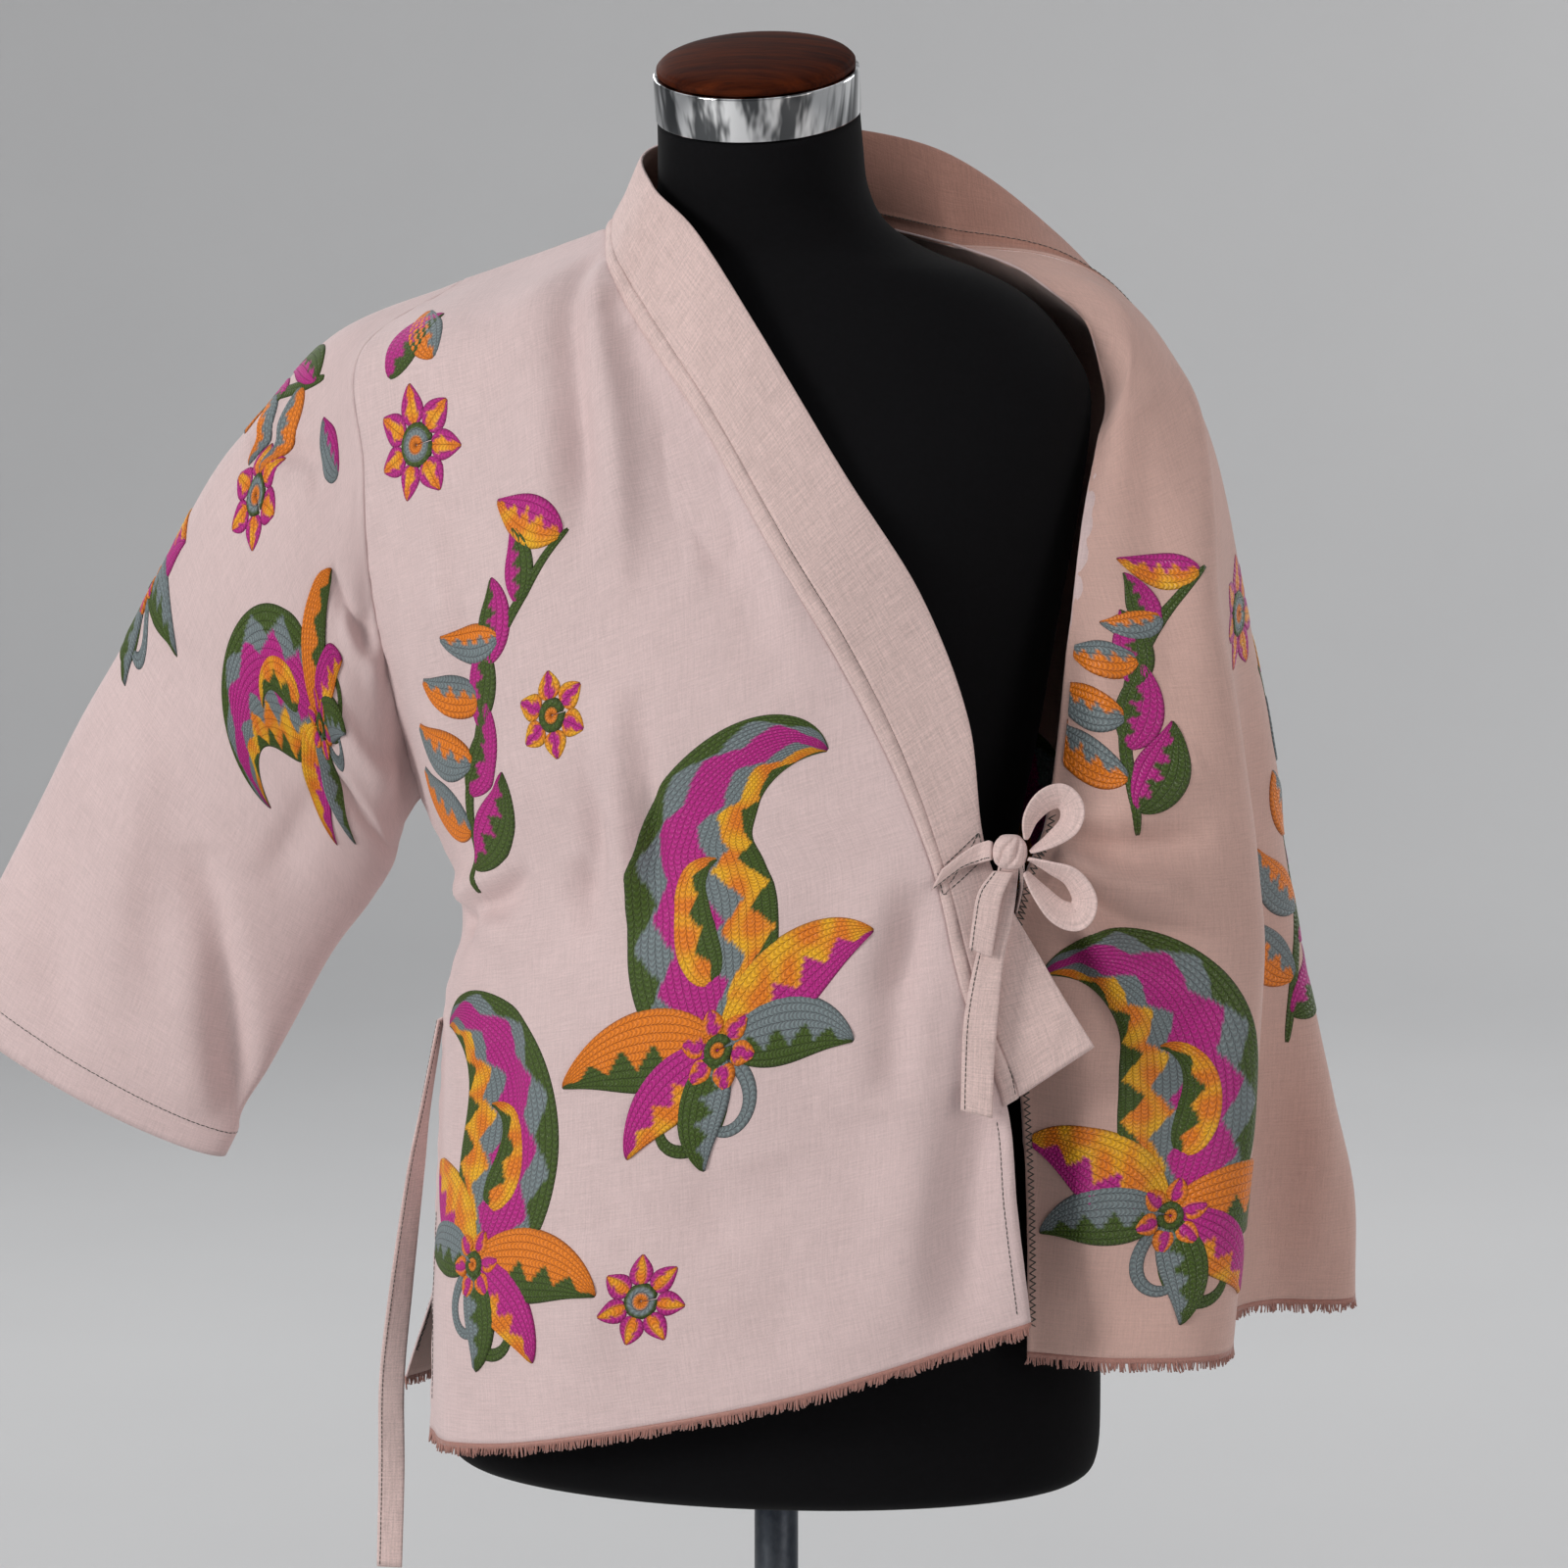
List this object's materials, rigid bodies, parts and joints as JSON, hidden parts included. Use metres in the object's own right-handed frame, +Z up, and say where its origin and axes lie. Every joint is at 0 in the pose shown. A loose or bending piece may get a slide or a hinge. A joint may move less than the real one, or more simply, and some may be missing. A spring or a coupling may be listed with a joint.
{
  "type": "kimono jacket on a limbless dress form",
  "caption": "Wrap-front kimono jacket in pink linen with embroidery, wide sleeves, collar band, bow tie and fringed hem, open on a limbless dress form with a pole stand",
  "frame": {"origin": "centre of the base plate's underside, on the pole's axis", "axes": "+Z up along the pole, -Y toward the front of the form, +X toward the wearer's left"},
  "size_m": [0.8149, 0.3657, 1.4982],
  "materials": {
    "jacket_cloth": "matte heathered linen and cotton",
    "band_cloth": "matte heathered linen and cotton, folded double",
    "fringe_thread": "loose matte warp ends",
    "form_jersey": "matte black jersey",
    "neck_chrome": "polished",
    "cap_wood": "dark satin varnish",
    "stand_steel": "dark blued satin"
  },
  "bodies": {
    "root": {"back": "jacket_cloth", "front_right": "jacket_cloth", "front_left": "jacket_cloth", "sleeve_right": "jacket_cloth", "sleeve_left": "jacket_cloth", "collar_band": "band_cloth", "tie_band": "band_cloth", "tie_side": "band_cloth", "bow_knot": "band_cloth", "bow_loop_upper": "band_cloth", "bow_loop_lower": "band_cloth", "bow_tail_short": "band_cloth", "bow_tail_long": "band_cloth", "tie_inner": "band_cloth", "fringe_right": "fringe_thread", "fringe_left": "fringe_thread", "fringe_back": "fringe_thread", "form_torso": "form_jersey", "neck_band": "neck_chrome", "neck_cap": "cap_wood", "form_flange": "stand_steel", "pole": "stand_steel", "base_hub": "stand_steel", "base_plate": "stand_steel"}
  },
  "joints": []
}
